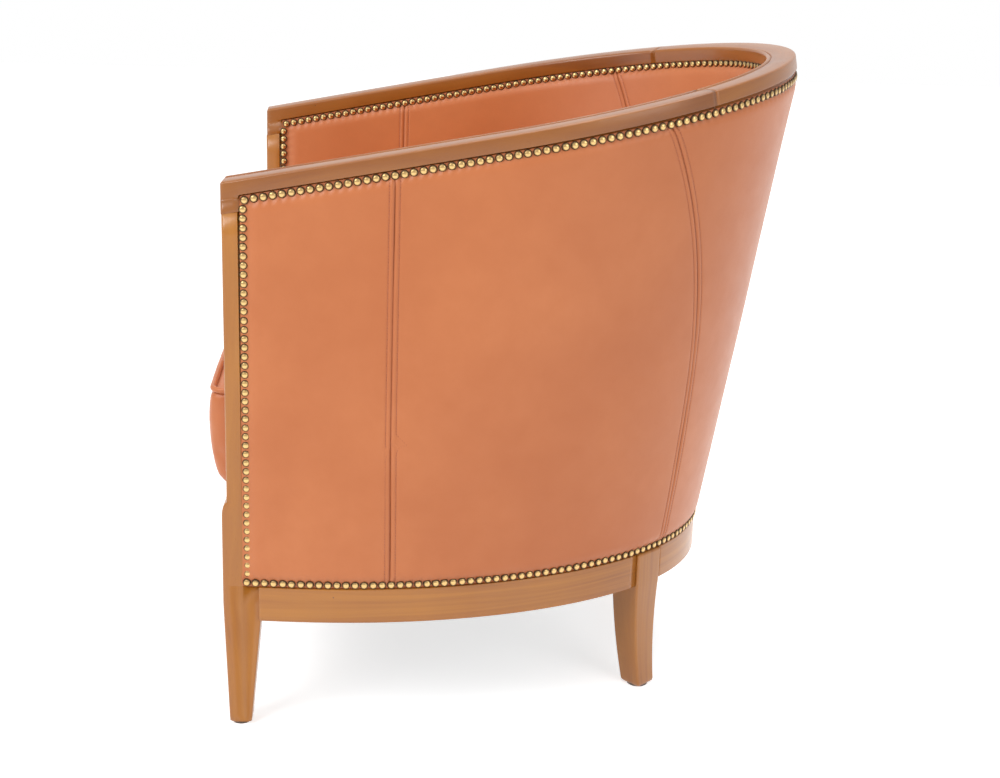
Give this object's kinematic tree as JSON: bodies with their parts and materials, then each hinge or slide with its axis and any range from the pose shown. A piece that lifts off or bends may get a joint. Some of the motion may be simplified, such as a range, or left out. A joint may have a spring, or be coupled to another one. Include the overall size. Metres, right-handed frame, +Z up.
{
  "type": "upholstered armchair",
  "caption": "Barrel-shaped armchair with an exposed moulded wooden frame, nailed leather wall inside and out, and a fixed stuffed seat with piped edge.",
  "frame": {"origin": "on the floor, at the middle of the chair's box", "axes": "+X to the right of someone facing the chair, -Y towards the front, +Z up"},
  "size_m": [0.6, 0.702, 0.788],
  "materials": {
    "show_wood": "satin stained beech",
    "plain_wood": "unfinished beech",
    "leather": "semi-aniline tan leather",
    "brass_nails": "polished brass",
    "wadding": "polyester wadding",
    "foam": "foam",
    "webbing": "woven webbing",
    "hessian": "plain woven jute",
    "dust_cloth": "spunbonded cloth",
    "felt": "pressed felt",
    "steel": "zinc plated"
  },
  "bodies": {
    "root": {"front_leg_right": "show_wood", "front_leg_left": "show_wood", "rear_leg_right": "show_wood", "rear_leg_left": "show_wood", "arm_rail_right": "show_wood", "arm_rail_left": "show_wood", "crest_rail": "show_wood", "seat_rail_front": "show_wood", "seat_rail_right": "show_wood", "seat_rail_left": "show_wood", "seat_rail_back": "show_wood", "upright_side_right": "plain_wood", "upright_side_left": "plain_wood", "upright_back_right": "plain_wood", "upright_back_left": "plain_wood", "crest_dowels": "plain_wood", "arm_dowels": "plain_wood", "seat_rail_dowels": "plain_wood", "corner_blocks": "plain_wood", "block_screws": "steel", "webbing_lengthwise": "webbing", "webbing_crosswise": "webbing", "seat_hessian": "hessian", "seat_foam": "foam", "seat_top_leather": "leather", "seat_border_leather": "leather", "seat_welt": "leather", "padding_in_front_right": "wadding", "padding_in_rear_right": "wadding", "padding_in_back": "wadding", "padding_in_rear_left": "wadding", "padding_in_front_left": "wadding", "padding_out_front_right": "wadding", "padding_out_rear_right": "wadding", "padding_out_back": "wadding", "padding_out_rear_left": "wadding", "padding_out_front_left": "wadding", "leather_in_front_right": "leather", "leather_in_rear_right": "leather", "leather_in_back": "leather", "leather_in_rear_left": "leather", "leather_in_front_left": "leather", "leather_out_front_right": "leather", "leather_out_rear_right": "leather", "leather_out_back": "leather", "leather_out_rear_left": "leather", "leather_out_front_left": "leather", "nails_rim_outside": "brass_nails", "nails_rim_inside": "brass_nails", "nails_base": "brass_nails", "nails_post_right": "brass_nails", "nails_post_left": "brass_nails", "nails_posts_inside": "brass_nails", "nails_seat_front": "brass_nails", "dust_cover": "dust_cloth", "glides": "felt"}
  },
  "joints": []
}
